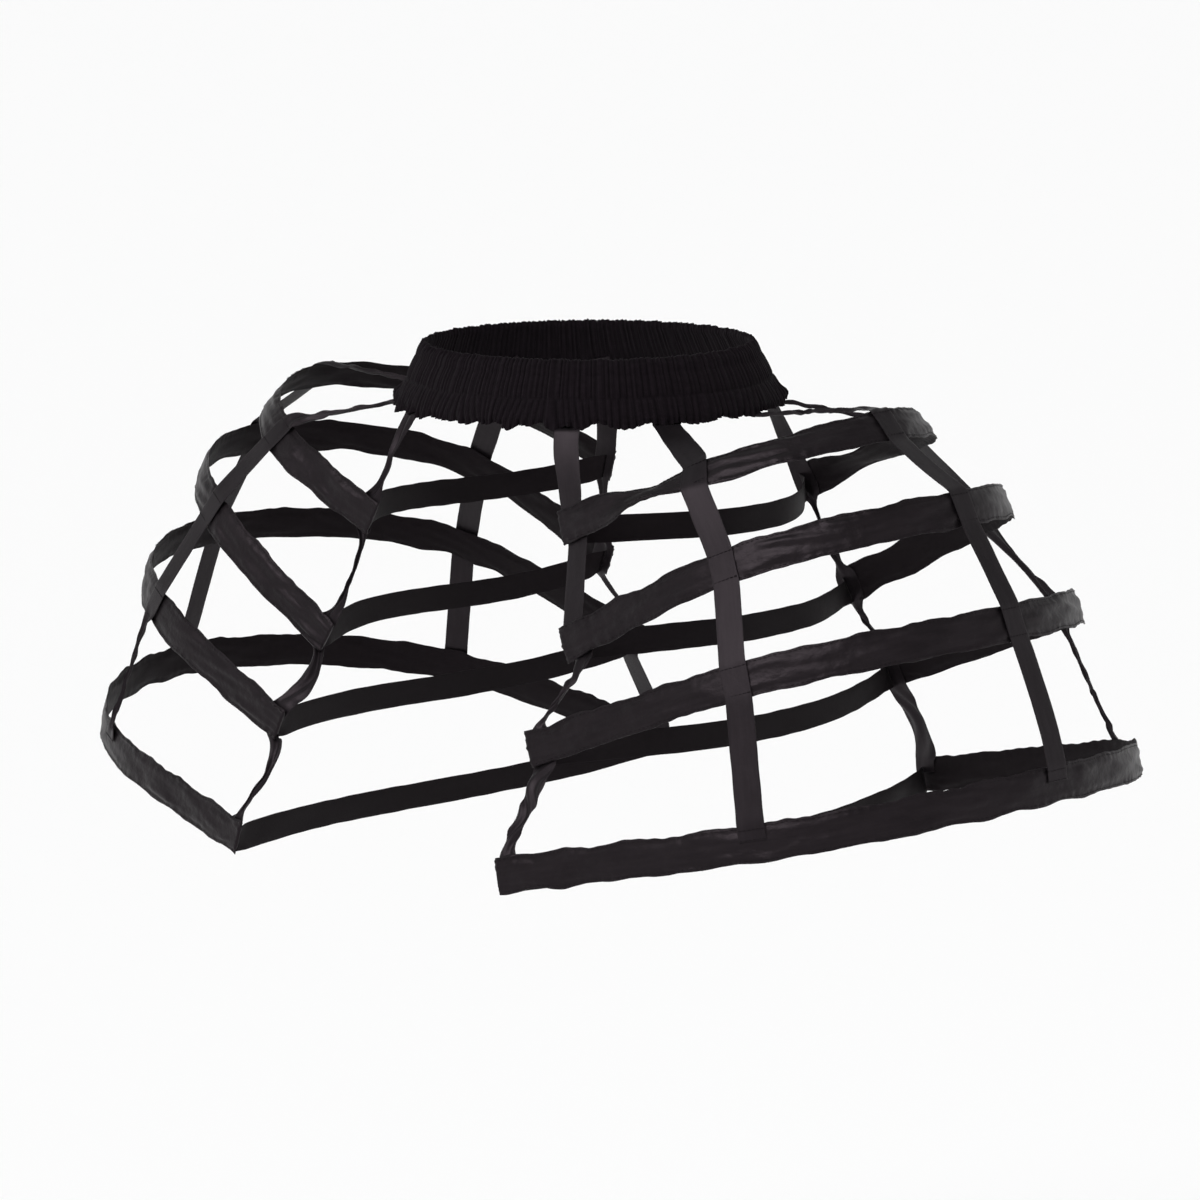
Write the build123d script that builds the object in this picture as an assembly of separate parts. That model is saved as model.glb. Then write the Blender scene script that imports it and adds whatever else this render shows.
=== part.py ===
from build123d import *
import os
from collections import namedtuple
from math import cos, radians, sin

# A crinoline cage of two side wings hung from an elastic waistband.
# Frame, in millimetres: origin at the centre of the waistband, +Z up,
# -Y the wearer's front and +X the wearer's left.

# ---- waistband -----------------------------------------------------------
WAIST_HALF_WIDTH = 121.0      # inside of the band along X, at its top edge
WAIST_HALF_DEPTH = 90.0       # inside of the band along Y, at its top edge
WAISTBAND_HEIGHT = 42.0
WAISTBAND_FLARE = 20.0        # how much wider the band is at its bottom edge, each side
WAISTBAND_WALL = 5.0          # gathered cloth, elastic and cloth again
WAISTBAND_TILT = 3.5          # degrees that it rides higher at the back
ELASTIC_HEIGHT = 35.0
ELASTIC_THICKNESS = 1.4
ELASTIC_CLEARANCE = 0.4       # all round the elastic in its tunnel

# ---- hoops ---------------------------------------------------------------
CASING_WIDTH = 24.0           # satin sleeve, across the hoop
CASING_THICKNESS = 3.4        # two layers of satin with the bone between them
BONE_WIDTH = 12.0
BONE_THICKNESS = 1.2
BONE_CLEARANCE = 0.3          # all round the bone in its sleeve
BONE_END_GAP = 14.0           # sleeve left empty and gathered at each corner
CORNER_LEAN = 6.0             # degrees that a sleeve leans inward at its corners
LEAN_RUN = 0.24               # share of the hoop over which the lean comes in
LEG_BOW = 5.0                 # bulge of the hoop's leg between corner and first ribbon
HOOP_STATIONS = 25

# ---- straps and ribbons --------------------------------------------------
STRAP_WIDTH = 18.0
STRAP_THICKNESS = 0.8
STRAP_INSET = 5.0             # seat of a strap's end, back from the sleeve's end
RIBBON_WIDTH = 18.0
RIBBON_THICKNESS = 0.6
SEWN_GAP = 0.25               # between two sewn faces
WAIST_TUCK = 14.0             # ribbon sewn up inside the waistband
LAST_TUCK = 11.0              # ribbon sewn down over the lowest sleeve
FRONT_CORNER_INSET = 11.0     # corner ribbon's middle, back from the sleeve's end
BACK_CORNER_INSET = 7.0
WAIST_CORNER_X = 70.0         # where the corner ribbons leave the waistband
WAIST_SIDE_X = 120.0          # where the front and back ribbons leave it

# One row a tier, from the waist down. Corners are where the sleeve and the
# strap meet; front and back are where the outer ribbons cross the sleeve.
#   height     the front corner's height
#   lift       how much higher the sleeve is at its outermost point
#   arch       how much it bulges above that slope half way
#   lean       degrees that the sleeve leans inward round its bow
#   hip        how far out the strap lies over the hip
#   sag        how much lower the right wing's front corner hangs
#   strap_sag  how much the strap hangs below its ends over the hip
Tier = namedtuple("Tier", "corner_x corner_y front_x front_y reach back_x back_y "
                          "height lift arch lean hip sag strap_sag")
TIERS = [
    Tier(86, 122, 190, 108, 260, 190, 110, -90, 70, 1, 40, 135, 8, 4),
    Tier(108, 144, 233, 130, 322, 232, 136, -163, 94, 8, 24, 142, 16, 3),
    Tier(114, 184, 265, 155, 363, 274, 166, -226, 87, 6, 20, 146, 9, 7),
    Tier(119, 219, 294, 172, 399, 308, 190, -303, 64, -2, 8, 148, 5, 6),
]
BACK_RISE = 9.0               # the cage rides this much higher at the back corners

WAISTBAND_BOTTOM = -WAISTBAND_HEIGHT / 2
UP = Vector(0, 0, 1)


def unit(v):
    """The vector v brought to length one."""
    return v / v.length


def tilted(v):
    """The vector v turned with the waistband about X."""
    return v.rotate(Axis.X, WAISTBAND_TILT)


def waist_ring(inner, outer, low, high):
    """Flared elliptical ring between two depths measured out from the band's inside."""
    def flared_cone(offset):
        faces = []
        for height in (low, high):
            flare = WAISTBAND_FLARE * (0.5 - height / WAISTBAND_HEIGHT) + offset
            disc = Ellipse(WAIST_HALF_WIDTH + flare, WAIST_HALF_DEPTH + flare)
            faces.append(Pos(0, 0, height) * disc)
        return loft(faces)
    return Rot(WAISTBAND_TILT, 0, 0) * (flared_cone(outer) - flared_cone(inner))


def strip(stations, width, thickness, smooth):
    """Loft a flat strip through stations, each a place, an across and a facing vector."""
    sections = []
    for place, across, facing in stations:
        a = across * (width / 2)
        f = facing * (thickness / 2)
        corners = [place - a - f, place + a - f, place + a + f, place - a + f]
        sections.append(Wire.make_polygon(corners, close=True))
    return Solid.make_loft(sections, ruled=not smooth)


class Hoop:
    """One tier of one wing: the bow that its sleeve and bone follow."""

    def __init__(self, tier, side):
        self.tier = tier
        self.side = side
        sag = tier.sag if side < 0 else 0
        self.front_corner = self.point(tier.corner_x, -tier.corner_y) - UP * sag
        self.back_corner = self.point(tier.corner_x, tier.corner_y)
        self.crossings = [
            self.point(tier.front_x, -tier.front_y),
            self.point(tier.reach, 0),
            self.point(tier.back_x, tier.back_y),
        ]
        self.path = Edge.make_spline([
            self.front_corner, self.leg_middle(self.front_corner, self.crossings[0]),
            *self.crossings,
            self.leg_middle(self.back_corner, self.crossings[-1]), self.back_corner,
        ])

    def point(self, x, y):
        """A point of the sloping, slightly arched hoop above plan position x, y."""
        tier = self.tier
        out = (x - tier.corner_x) / (tier.reach - tier.corner_x)
        back = 0.5 + 0.5 * y / tier.corner_y
        height = (tier.height + (tier.lift - BACK_RISE / 2) * out
                  + 4 * tier.arch * out * (1 - out) + BACK_RISE * back)
        return Vector(self.side * x, y, height)

    def leg_middle(self, corner, crossing):
        """Middle of the nearly straight leg from a corner to the nearest outer ribbon."""
        away = Vector(0, 1 if corner.Y > 0 else -1, 0)
        return (corner + crossing) / 2 + away * LEG_BOW

    def station(self, share, depth=0.0):
        """Place of the sleeve, depth outside its middle, and its up, out and along vectors.

        Past either end the sleeve is carried on straight.
        """
        end = min(max(share, 0), 1)
        along = unit(self.path.tangent_at(end))
        place = self.path.position_at(end) + along * (share - end) * self.path.length
        level = unit(along.cross(UP)) * self.side
        upright = unit(level.cross(along)) * self.side
        ease = min(end, 1 - end, LEAN_RUN) / LEAN_RUN
        ease = ease * ease * (3 - 2 * ease)
        lean = radians(CORNER_LEAN + (self.tier.lean - CORNER_LEAN) * ease)
        upward = upright * cos(lean) - level * sin(lean)
        outward = level * cos(lean) + upright * sin(lean)
        return place + outward * depth, upward, outward, along

    def sleeve_strip(self, start, end, width, thickness):
        """A strip of the hoop between two shares of its length."""
        stations = []
        for step in range(HOOP_STATIONS):
            share = start + (end - start) * step / (HOOP_STATIONS - 1)
            place, upward, outward, _ = self.station(share)
            stations.append((place, upward, outward))
        return strip(stations, width, thickness, smooth=True)

    def share_of(self, point):
        """Share of the bow's length at a point that lies on it."""
        return self.path.param_at_point(point)

    def bone(self):
        """The flat bone, stopped short of the gathered corners."""
        gap = BONE_END_GAP / self.path.length
        return self.sleeve_strip(gap, 1 - gap, BONE_WIDTH, BONE_THICKNESS)

    def casing(self):
        """The satin sleeve with its closed tunnel for the bone."""
        gap = (BONE_END_GAP - BONE_CLEARANCE) / self.path.length
        tunnel = self.sleeve_strip(gap, 1 - gap, BONE_WIDTH + 2 * BONE_CLEARANCE,
                                   BONE_THICKNESS + 2 * BONE_CLEARANCE)
        return self.sleeve_strip(0, 1, CASING_WIDTH, CASING_THICKNESS) - tunnel

    def strap(self):
        """The flat tape that closes the hoop along the hip, seated on the corner ribbons."""
        inset = STRAP_INSET / self.path.length
        depth = -(CASING_THICKNESS / 2 + RIBBON_THICKNESS + 2 * SEWN_GAP)
        seats = [self.station(inset, depth), self.station(1 - inset, depth)]
        low_edge = (CASING_WIDTH - STRAP_WIDTH) / 2
        front, back = (seat[0] - seat[1] * low_edge for seat in seats)
        hip_reach = self.tier.corner_y / 3
        height = (front.Z + back.Z) / 2 - self.tier.strap_sag
        over_hip = [Vector(self.side * self.tier.hip, y, height) for y in (-hip_reach, hip_reach)]
        path = Edge.make_spline([front, *over_hip, back])
        stations = []
        for step in range(HOOP_STATIONS):
            share = step / (HOOP_STATIONS - 1)
            along = unit(path.tangent_at(share))
            level = unit(along.cross(UP)) * self.side
            stations.append((path.position_at(share), UP, level))
        stations[0] = (front, seats[0][1], seats[0][3])
        stations[-1] = (back, seats[1][1], -seats[1][3])
        return strip(stations, STRAP_WIDTH, STRAP_THICKNESS, smooth=True)


def waist_seat(waist_x, y_sign, height, depth):
    """Middle and across vector of a ribbon laid along the band, depth outside its inner face.

    The ribbon is flat and the band is round, so inside the band its middle stands off
    by the rise of the arc that its width spans.
    """
    flare = WAISTBAND_FLARE * (0.5 - height / WAISTBAND_HEIGHT)
    half_width = WAIST_HALF_WIDTH + flare
    half_depth = WAIST_HALF_DEPTH + flare
    x = min(waist_x, half_width)
    y = y_sign * half_depth * (1 - (x / half_width) ** 2) ** 0.5
    outward = unit(Vector(x / half_width ** 2, y / half_depth ** 2, 0))
    radius = (half_width * half_depth) ** 2 * (x ** 2 / half_width ** 4
                                               + y ** 2 / half_depth ** 4) ** 1.5
    rise = RIBBON_WIDTH ** 2 / (8 * radius)
    return Vector(x, y, height) + outward * (depth - rise), outward.cross(UP)


def ribbon_route(hoops, shares, waist_x, y_sign, face):
    """Places of a ribbon's middle line with its across vector, from the waist down.

    face is 1 for a ribbon sewn over the sleeves and -1 for one sewn behind them.
    """
    side = hoops[0].side
    skin = SEWN_GAP + RIBBON_THICKNESS / 2
    under = WAISTBAND_BOTTOM - skin
    tuck = [(WAISTBAND_BOTTOM + WAIST_TUCK, -skin), (under, -skin), (under, WAISTBAND_WALL)]
    route = []
    for height, depth in tuck:
        place, across = waist_seat(waist_x, y_sign, height, depth)
        route.append((tilted(Vector(side * place.X, place.Y, place.Z)),
                      tilted(Vector(across.X, side * across.Y, 0))))
    for hoop, share in zip(hoops, shares):
        half_share = RIBBON_WIDTH / 2 / hoop.path.length
        low = CASING_WIDTH / 2 - LAST_TUCK if hoop is hoops[-1] else -CASING_WIDTH / 2
        seat = face * (CASING_THICKNESS / 2 + skin)
        edges = [hoop.station(share + way * half_share, seat) for way in (-1, 1)]
        middle, _, outward, _ = hoop.station(share, seat)
        rise = (middle - (edges[0][0] + edges[1][0]) / 2).dot(outward)
        rise = face * max(face * rise, 0)
        for reach in (CASING_WIDTH / 2, low):
            first, second = (edge[0] + edge[1] * reach + edge[2] * rise for edge in edges)
            route.append(((first + second) / 2, unit(second - first)))
    return route


def ribbon(route):
    """Ruled ribbon along a route, with each bend's section on the bisector of its turn."""
    stations = []
    for i, (place, across) in enumerate(route):
        runs = []
        if i > 0:
            runs.append(unit(place - route[i - 1][0]))
        if i < len(route) - 1:
            runs.append(unit(route[i + 1][0] - place))
        down = unit(sum(runs, Vector(0, 0, 0)))
        stations.append((place, across, unit(across.cross(down))))
    return strip(stations, RIBBON_WIDTH, RIBBON_THICKNESS, smooth=False)


def wing_ribbons(hoops):
    """The five ribbons of one wing: two behind its corners, three over its bow."""
    front_end = [FRONT_CORNER_INSET / hoop.path.length for hoop in hoops]
    back_end = [1 - BACK_CORNER_INSET / hoop.path.length for hoop in hoops]
    front, side, back = ([hoop.share_of(hoop.crossings[k]) for hoop in hoops] for k in range(3))
    reach = WAIST_HALF_WIDTH + WAISTBAND_FLARE
    return {
        "ribbon_front_corner": ribbon(ribbon_route(hoops, front_end, WAIST_CORNER_X, -1, -1)),
        "ribbon_front": ribbon(ribbon_route(hoops, front, WAIST_SIDE_X, -1, 1)),
        "ribbon_side": ribbon(ribbon_route(hoops, side, reach, 1, 1)),
        "ribbon_back": ribbon(ribbon_route(hoops, back, WAIST_SIDE_X, 1, 1)),
        "ribbon_back_corner": ribbon(ribbon_route(hoops, back_end, WAIST_CORNER_X, 1, -1)),
    }


parts = {}
tunnel_half = ELASTIC_HEIGHT / 2 + ELASTIC_CLEARANCE
elastic_inner = (WAISTBAND_WALL - ELASTIC_THICKNESS) / 2
elastic_outer = elastic_inner + ELASTIC_THICKNESS
tunnel = waist_ring(elastic_inner - ELASTIC_CLEARANCE, elastic_outer + ELASTIC_CLEARANCE,
                    -tunnel_half, tunnel_half)
parts["waistband_casing"] = waist_ring(0, WAISTBAND_WALL, WAISTBAND_BOTTOM,
                                       WAISTBAND_HEIGHT / 2) - tunnel
parts["waist_elastic"] = waist_ring(elastic_inner, elastic_outer,
                                    -ELASTIC_HEIGHT / 2, ELASTIC_HEIGHT / 2)

for wing, side in (("left", 1), ("right", -1)):
    hoops = [Hoop(tier, side) for tier in TIERS]
    for number, hoop in enumerate(hoops, start=1):
        parts[f"{wing}_hoop{number}_casing"] = hoop.casing()
        parts[f"{wing}_hoop{number}_bone"] = hoop.bone()
        parts[f"{wing}_hoop{number}_strap"] = hoop.strap()
    for name, solid in wing_ribbons(hoops).items():
        parts[f"{wing}_{name}"] = solid

os.makedirs("parts", exist_ok=True)
for name, solid in parts.items():
    export_step(solid, f"parts/{name}.step")
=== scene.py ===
# %% [markdown]
# # A crinoline cage in Blender
# The object is an open cage worn over the hips under a wide skirt. Two side
# wings hang from a gathered elastic waistband. Each wing has four hoops: a
# flat bone in a satin sleeve, closed along the hip by a plain tape strap, and
# five ribbons hang the hoops below one another.
#
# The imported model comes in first. It fixes the frame: metres, origin at the
# centre of the waistband, +Z up, -Y the wearer's front, +X the wearer's left.

# %% The fixed frame
from collections import namedtuple

import bpy
import numpy as np
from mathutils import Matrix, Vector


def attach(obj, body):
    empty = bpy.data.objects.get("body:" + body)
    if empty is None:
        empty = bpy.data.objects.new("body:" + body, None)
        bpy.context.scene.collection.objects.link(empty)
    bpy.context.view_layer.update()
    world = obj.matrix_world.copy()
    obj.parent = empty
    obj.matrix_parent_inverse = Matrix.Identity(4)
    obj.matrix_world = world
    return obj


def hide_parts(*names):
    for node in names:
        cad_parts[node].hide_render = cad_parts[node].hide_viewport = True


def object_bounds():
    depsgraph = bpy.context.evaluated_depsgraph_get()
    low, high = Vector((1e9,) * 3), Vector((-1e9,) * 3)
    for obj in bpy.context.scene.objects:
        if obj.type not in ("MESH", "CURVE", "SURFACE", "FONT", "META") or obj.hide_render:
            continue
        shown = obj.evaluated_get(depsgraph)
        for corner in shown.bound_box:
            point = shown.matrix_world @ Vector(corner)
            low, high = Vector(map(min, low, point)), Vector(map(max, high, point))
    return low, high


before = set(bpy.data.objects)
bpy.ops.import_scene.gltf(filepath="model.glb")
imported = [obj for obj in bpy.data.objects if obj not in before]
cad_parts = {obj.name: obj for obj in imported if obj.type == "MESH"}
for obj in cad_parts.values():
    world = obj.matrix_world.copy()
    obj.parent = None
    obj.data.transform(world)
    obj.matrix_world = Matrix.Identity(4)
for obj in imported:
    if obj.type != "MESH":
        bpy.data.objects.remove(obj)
CAD_BOX = [list(corner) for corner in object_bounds()]
print("CAD box, lowest and highest corner:", CAD_BOX)

# %% [markdown]
# ## Camera
# The cage is seen from its front left and a little from above. A short lens
# near by would make the near hoops larger, so a long lens stands far away,
# which keeps the straps' slopes true.

# %% Camera
CAMERA_DEGREES = 42.0                  # round the cage, from its front to its left
AIM_RIGHT_DEGREES = 0.139              # how far it looks to the right of the waistband
CAMERA_DISTANCE, CAMERA_HEIGHT = 3.4, 0.312
CAMERA_DIP = np.radians(7.87)
SENSOR_WIDTH, LENS = 36.0, 150.44      # in millimetres, as Blender wants them

def in_scene(name, data):
    """New object of that name, linked into the scene."""
    made = bpy.data.objects.new(name, data)
    bpy.context.scene.collection.objects.link(made)
    return made

camera = in_scene("view_camera", bpy.data.cameras.new("view_camera"))
camera.data.sensor_width = SENSOR_WIDTH
camera.data.lens = LENS
azimuth = np.radians(CAMERA_DEGREES)
camera.location = (np.sin(azimuth) * CAMERA_DISTANCE, -np.cos(azimuth) * CAMERA_DISTANCE,
                   CAMERA_HEIGHT)
camera.rotation_euler = (np.pi / 2 - CAMERA_DIP, 0,
                         np.radians(CAMERA_DEGREES - AIM_RIGHT_DEGREES))
bpy.context.scene.camera = camera
print("camera", tuple(round(x, 3) for x in camera.location))

# %% [markdown]
# ## Room and light
# Black cloth shows its shape by what it mirrors, so the room matters as much
# as the lamps. The floor is pale, and the sky is bright near the horizon and
# dimmer overhead. The key is a sun as wide as a large soft screen, high at the
# front left: folds that face it shine softly, and faces turned away stay deep
# black. A lamp at the right picks out the sleeves' edges there.

# %% Nodes
def node(kind, fed, numbers=None, output=0):
    """Output of a new node in the tree that feeds it, with sockets fed or set to numbers."""
    tree = next(iter(fed.values())).id_data
    made = tree.nodes.new("ShaderNode" + kind)
    for socket, source in fed.items():
        tree.links.new(source, made.inputs[socket])
    for socket, value in (numbers or {}).items():
        made.inputs[socket].default_value = value
    return made.outputs[output]

def tones(factor, stops):
    """Colours at stops of a factor."""
    shown = node("ValToRGB", {"Fac": factor}, output="Color")
    elements = shown.node.color_ramp.elements
    for k, (at, colour) in enumerate(stops):
        stop = elements[k] if k < 2 else elements.new(at)
        stop.position, stop.color = at, (*colour, 1)
    return shown

def plain_finish(name, colour, roughness):
    """Material with only its shader, its constants set on the shader's own sockets."""
    finish = bpy.data.materials.new(name)
    finish.use_nodes = True
    shader = finish.node_tree.nodes["Principled BSDF"]
    shader.inputs["Base Color"].default_value = (*colour, 1)
    shader.inputs["Roughness"].default_value = roughness
    return finish, shader

print("node helpers ready")

# %% Floor and sky
FLOOR_DROP, FLOOR_REACH = 0.62, 60     # below the lowest hoop, and half its width
FLOOR_GREY, FLOOR_ROUGHNESS = 0.93, 0.95
SKY = [(0.0, 1.0), (0.12, 1.0), (0.42, 0.42), (1.0, 0.36)]      # height, and grey there

floor_height = CAD_BOX[0][2] - FLOOR_DROP
floor_mesh = bpy.data.meshes.new("studio_floor")
floor_mesh.from_pydata([(x * FLOOR_REACH, y * FLOOR_REACH, floor_height) for x, y in
                        ((-1, -1), (1, -1), (1, 1), (-1, 1))], [], [(0, 1, 2, 3)])
floor = in_scene("studio_floor", floor_mesh)
floor_mesh.materials.append(plain_finish("pale_floor", [FLOOR_GREY] * 3, FLOOR_ROUGHNESS)[0])

world = bpy.data.worlds.new("studio_sky")
world.use_nodes = True
bpy.context.scene.world = world
sky = world.node_tree
looked_at = sky.nodes.new("ShaderNodeTexCoord").outputs["Generated"]
sky.links.new(tones(node("SeparateXYZ", {0: looked_at}, output="Z"),
                    [(height, [grey] * 3) for height, grey in SKY]),
              sky.nodes["Background"].inputs["Color"])
bpy.context.scene.view_settings.view_transform = "Standard"
print("floor height", round(floor_height, 3))

# %% Lamps
LAMPS_AIM = np.array([0.0, 0.0, -0.15])          # the middle of the cage

def lamp(kind, name, place, power):
    """Lamp at a place, turned to the middle of the cage."""
    data = bpy.data.lights.new(name, kind)
    data.energy = power
    towards = LAMPS_AIM - np.array(place)
    turn = np.arctan2(towards[1], towards[0]) - np.pi / 2
    dip = np.arctan2(towards[2], np.hypot(towards[0], towards[1]))
    holder = in_scene(name, data)
    holder.location = place
    holder.rotation_euler = (np.pi / 2 + dip, 0, turn)
    return data

KEY_WIDTH_DEGREES, SCREEN_WIDTH, SCREEN_HEIGHT = 42, 1.0, 1.8
key = lamp("SUN", "key_front_left", place=(0.2, -3.0, 3.2), power=2.6)
key.angle = np.radians(KEY_WIDTH_DEGREES)
screen = lamp("AREA", "screen_right", place=(3.2, 0.9, 1.3), power=4)
screen.shape, screen.size, screen.size_y = "RECTANGLE", SCREEN_WIDTH, SCREEN_HEIGHT
print("key and side lamp")

# %% [markdown]
# ## Helpers for cloth made of numbers
# Each piece is a surface worked out on a grid of two parameters, one along
# the piece and one round its cross-section. Modelling by hand or a cloth
# simulation could make the same folds, but a strip held flat over a bone or
# pulled taut between two seams barely moves, and a formula keeps every piece
# exactly on the path that the frame gives.

# %% Small formulas
UP = np.array([0.0, 0.0, 1.0])
MM = 0.001

def unit(v):
    """Each vector of an array brought to length one."""
    return v / np.linalg.norm(v, axis=-1, keepdims=True)

def smooth(x):
    """Rises from 0 to 1 as x does, with a level start and end: 3x squared less 2x cubed."""
    x = np.clip(x, 0, 1)
    return x * x * (3 - 2 * x)

def ripple(seed, u, v, pitch_u, pitch_v, waves=14):
    """Soft random relief, mostly between -1 and 1, over places u, v in metres.

    It is a sum of cosines whose waves per metre scatter round one over the pitch.
    """
    rng = np.random.default_rng(seed)
    per_u = rng.uniform(0.55, 1.3, waves) * rng.choice([-1, 1], waves) / pitch_u
    per_v = rng.uniform(-1.0, 1.0, waves) / pitch_v
    phase = rng.uniform(0, 2 * np.pi, waves)
    u, v = np.broadcast_arrays(u, v)
    angle = 2 * np.pi * (u[..., None] * per_u + v[..., None] * per_v) + phase
    return np.cos(angle).sum(-1) * (1.15 / np.sqrt(waves))

def drift(seed, run, pitch):
    """Ripple that changes along a piece but not across it."""
    return ripple(seed, run, 0.0, pitch, 1.0)

def blurred(values, steps):
    """Running bell-shaped average along the first axis, its ends held."""
    reach = int(3 * steps)
    bell = np.exp(-0.5 * (np.arange(-reach, reach + 1) / steps) ** 2)
    bell = bell / bell.sum()
    held = np.concatenate([np.repeat(values[:1], reach, 0), values,
                           np.repeat(values[-1:], reach, 0)])
    return np.stack([np.convolve(held[:, k], bell, "valid")
                     for k in range(values.shape[1])], -1)

def walked(points):
    """Distance from the first of some points to each one, from point to point."""
    return np.concatenate([[0], np.cumsum(np.linalg.norm(np.diff(points, axis=0), axis=1))])

def placed(at, knots, rows):
    """Rows in between those at knots, by straight lines."""
    return np.stack([np.interp(at, knots, rows[:, k]) for k in range(3)], -1)

print("relief sample", ripple(1, np.linspace(0, 0.1, 4), 0.0, 0.02, 0.02).round(2))

# %% Curves
WALK_ROWS, TABLE_ROWS = 20001, 4001    # places where a curve is measured, and kept

def curve_through(points):
    """Smooth cubic curve through points, read off at even steps of its length.

    The curve's parameter is the distance from point to point. Its end slopes are
    those of the cubic through the four points nearest each end, and its inner
    slopes are the ones that keep the curvature steady. Returns the places, the
    unit directions, the length, and each point's share of the length.
    """
    points = np.asarray(points, float)
    knots = walked(points)
    gap = np.diff(knots)
    rise = np.diff(points, axis=0) / gap[:, None]

    def end_slope(some, at):
        """Slope at one knot of the polynomial through some of the points."""
        degree = len(some) - 1
        return np.array([np.polyval(np.polyder(np.polyfit(knots[some] - at, points[some, k],
                                                          degree)), 0.0) for k in range(3)])

    count = len(points)
    system, wanted = np.eye(count), np.zeros((count, 3))
    first = np.arange(min(4, count))
    wanted[0] = end_slope(first, knots[0])
    wanted[-1] = end_slope(count - 1 - first, knots[-1])
    inner = np.arange(1, count - 1)
    system[inner, inner - 1] = gap[1:]
    system[inner, inner] = 2 * (gap[:-1] + gap[1:])
    system[inner, inner + 1] = gap[:-1]
    wanted[inner] = 3 * (gap[1:, None] * rise[:-1] + gap[:-1, None] * rise[1:])
    slopes = np.linalg.solve(system, wanted)

    t = np.linspace(0, knots[-1], WALK_ROWS)
    k = np.clip(np.searchsorted(knots, t, "right") - 1, 0, count - 2)
    h = gap[k][:, None]
    x = ((t - knots[k]) / gap[k])[:, None]
    fine = ((1 + 2 * x) * (1 - x) ** 2 * points[k] + x * (1 - x) ** 2 * h * slopes[k]
            + x * x * (3 - 2 * x) * points[k + 1] + x * x * (x - 1) * h * slopes[k + 1])
    run = walked(fine)
    places = placed(np.linspace(0, run[-1], TABLE_ROWS), run, fine)
    return places, unit(np.gradient(places, axis=0)), run[-1], np.interp(knots, t, run) / run[-1]

def read_off(table, share):
    """Rows of an even table at shares of its length, in between by straight lines."""
    at = np.clip(share, 0, 1) * (len(table) - 1)
    low = np.minimum(at.astype(int), len(table) - 2)
    part = (at - low)[..., None]
    return table[low] * (1 - part) + table[low + 1] * part

print("quarter circle length", round(curve_through(
    [(np.cos(a), np.sin(a), 0) for a in np.linspace(0, np.pi / 2, 5)])[2], 4))

# %% From a grid to faces
def closed_cloth(name, grid, finishes, run, girth, crest=None, inner_from=None, looped=False):
    """Closed mesh from a grid of rows along a piece by columns round its section.

    Neighbouring rows and columns are joined by four-sided faces. The ends are
    closed by joining each outer column to the inner column across from it, or,
    for a looped piece, the last row to the first. If the volume comes out below
    zero, every face is turned round. The weave map is the run along the piece by
    the girth round its section. crest is kept as an attribute for the finish, and
    faces from column inner_from on take the second finish.
    """
    rows, columns = grid.shape[:2]
    index = np.arange(rows * columns).reshape(rows, columns)
    if looped:
        index = np.concatenate([index, index[:1]])
    beside = np.roll(index, -1, axis=1)
    quads = np.stack([index[:-1], beside[:-1], beside[1:], index[1:]], -1)
    corner = np.stack(np.meshgrid(run, np.linspace(0, girth, columns + 1), indexing="ij"), -1)
    uvs = np.stack([corner[:-1, :-1], corner[:-1, 1:], corner[1:, 1:], corner[1:, :-1]], 2)
    side = np.tile(np.arange(columns) >= (inner_from or columns), len(quads)).astype(int)
    quads, uvs = quads.reshape(-1, 4), uvs.reshape(-1, 4, 2)
    if not looped:
        j = np.arange(columns // 2 - 1)
        for ring, turn in ((index[0], 1), (index[-1], -1)):
            cap = np.stack([ring[j], ring[columns - 1 - j], ring[columns - 2 - j], ring[j + 1]], -1)
            quads = np.concatenate([quads, cap[:, ::turn]])
            uvs = np.concatenate([uvs, np.zeros((len(cap), 4, 2))])
            side = np.concatenate([side, np.zeros(len(cap), int)])
    points = grid.reshape(-1, 3)
    a, b, c, d = (points[quads[:, k]] for k in range(4))
    volume = ((a * np.cross(b, c)).sum() + (a * np.cross(c, d)).sum()) / 6
    if volume < 0:
        quads, uvs = quads[:, ::-1], uvs[:, ::-1]
    return cloth_mesh(name, points, quads, uvs, side, finishes, crest)

print("grid helper ready")

# %% From arrays to a mesh
def cloth_mesh(name, points, quads, uvs, side, finishes, crest=None):
    """Mesh object from whole arrays, smooth, riding on the cage's one body."""
    mesh = bpy.data.meshes.new(name)
    mesh.vertices.add(len(points))
    mesh.vertices.foreach_set("co", np.ascontiguousarray(points, float).ravel())
    mesh.loops.add(quads.size)
    mesh.loops.foreach_set("vertex_index", np.ascontiguousarray(quads).ravel())
    mesh.polygons.add(len(quads))
    mesh.polygons.foreach_set("loop_start", np.arange(0, quads.size, 4))
    mesh.polygons.foreach_set("use_smooth", np.ones(len(quads), bool))
    mesh.polygons.foreach_set("material_index", side)
    mesh.update(calc_edges=True)
    layer = mesh.uv_layers.new(name="weave")
    layer.data.foreach_set("uv", np.ascontiguousarray(uvs, float).ravel())
    if crest is not None:
        mesh.attributes.new("crest", "FLOAT", "POINT").data.foreach_set("value", crest.ravel())
    for finish in finishes:
        mesh.materials.append(finish)
    mesh.validate()
    piece = in_scene(name, mesh)
    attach(piece, "root")
    return piece

print("mesh helper ready")

# %% [markdown]
# ## Finishes
# Each cloth gets its own finish, read from the piece's own map, whose two
# numbers are metres along and across the cloth. So threads keep their true
# pitch and run with the piece wherever it turns. A picture pasted on would be
# quicker, but threads and lustre made of waves and noise stay sharp at any
# distance. Black cloth is never one flat black: its dye, lint and lustre vary.

# %% Parts of a finish
SPECULAR_TINT = (1.0, 0.83, 0.93, 1)   # the shine of the black cloth is a little rosy
UNIT_ROW = 0.314159                    # wave scale that puts its rows one unit apart

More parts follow.
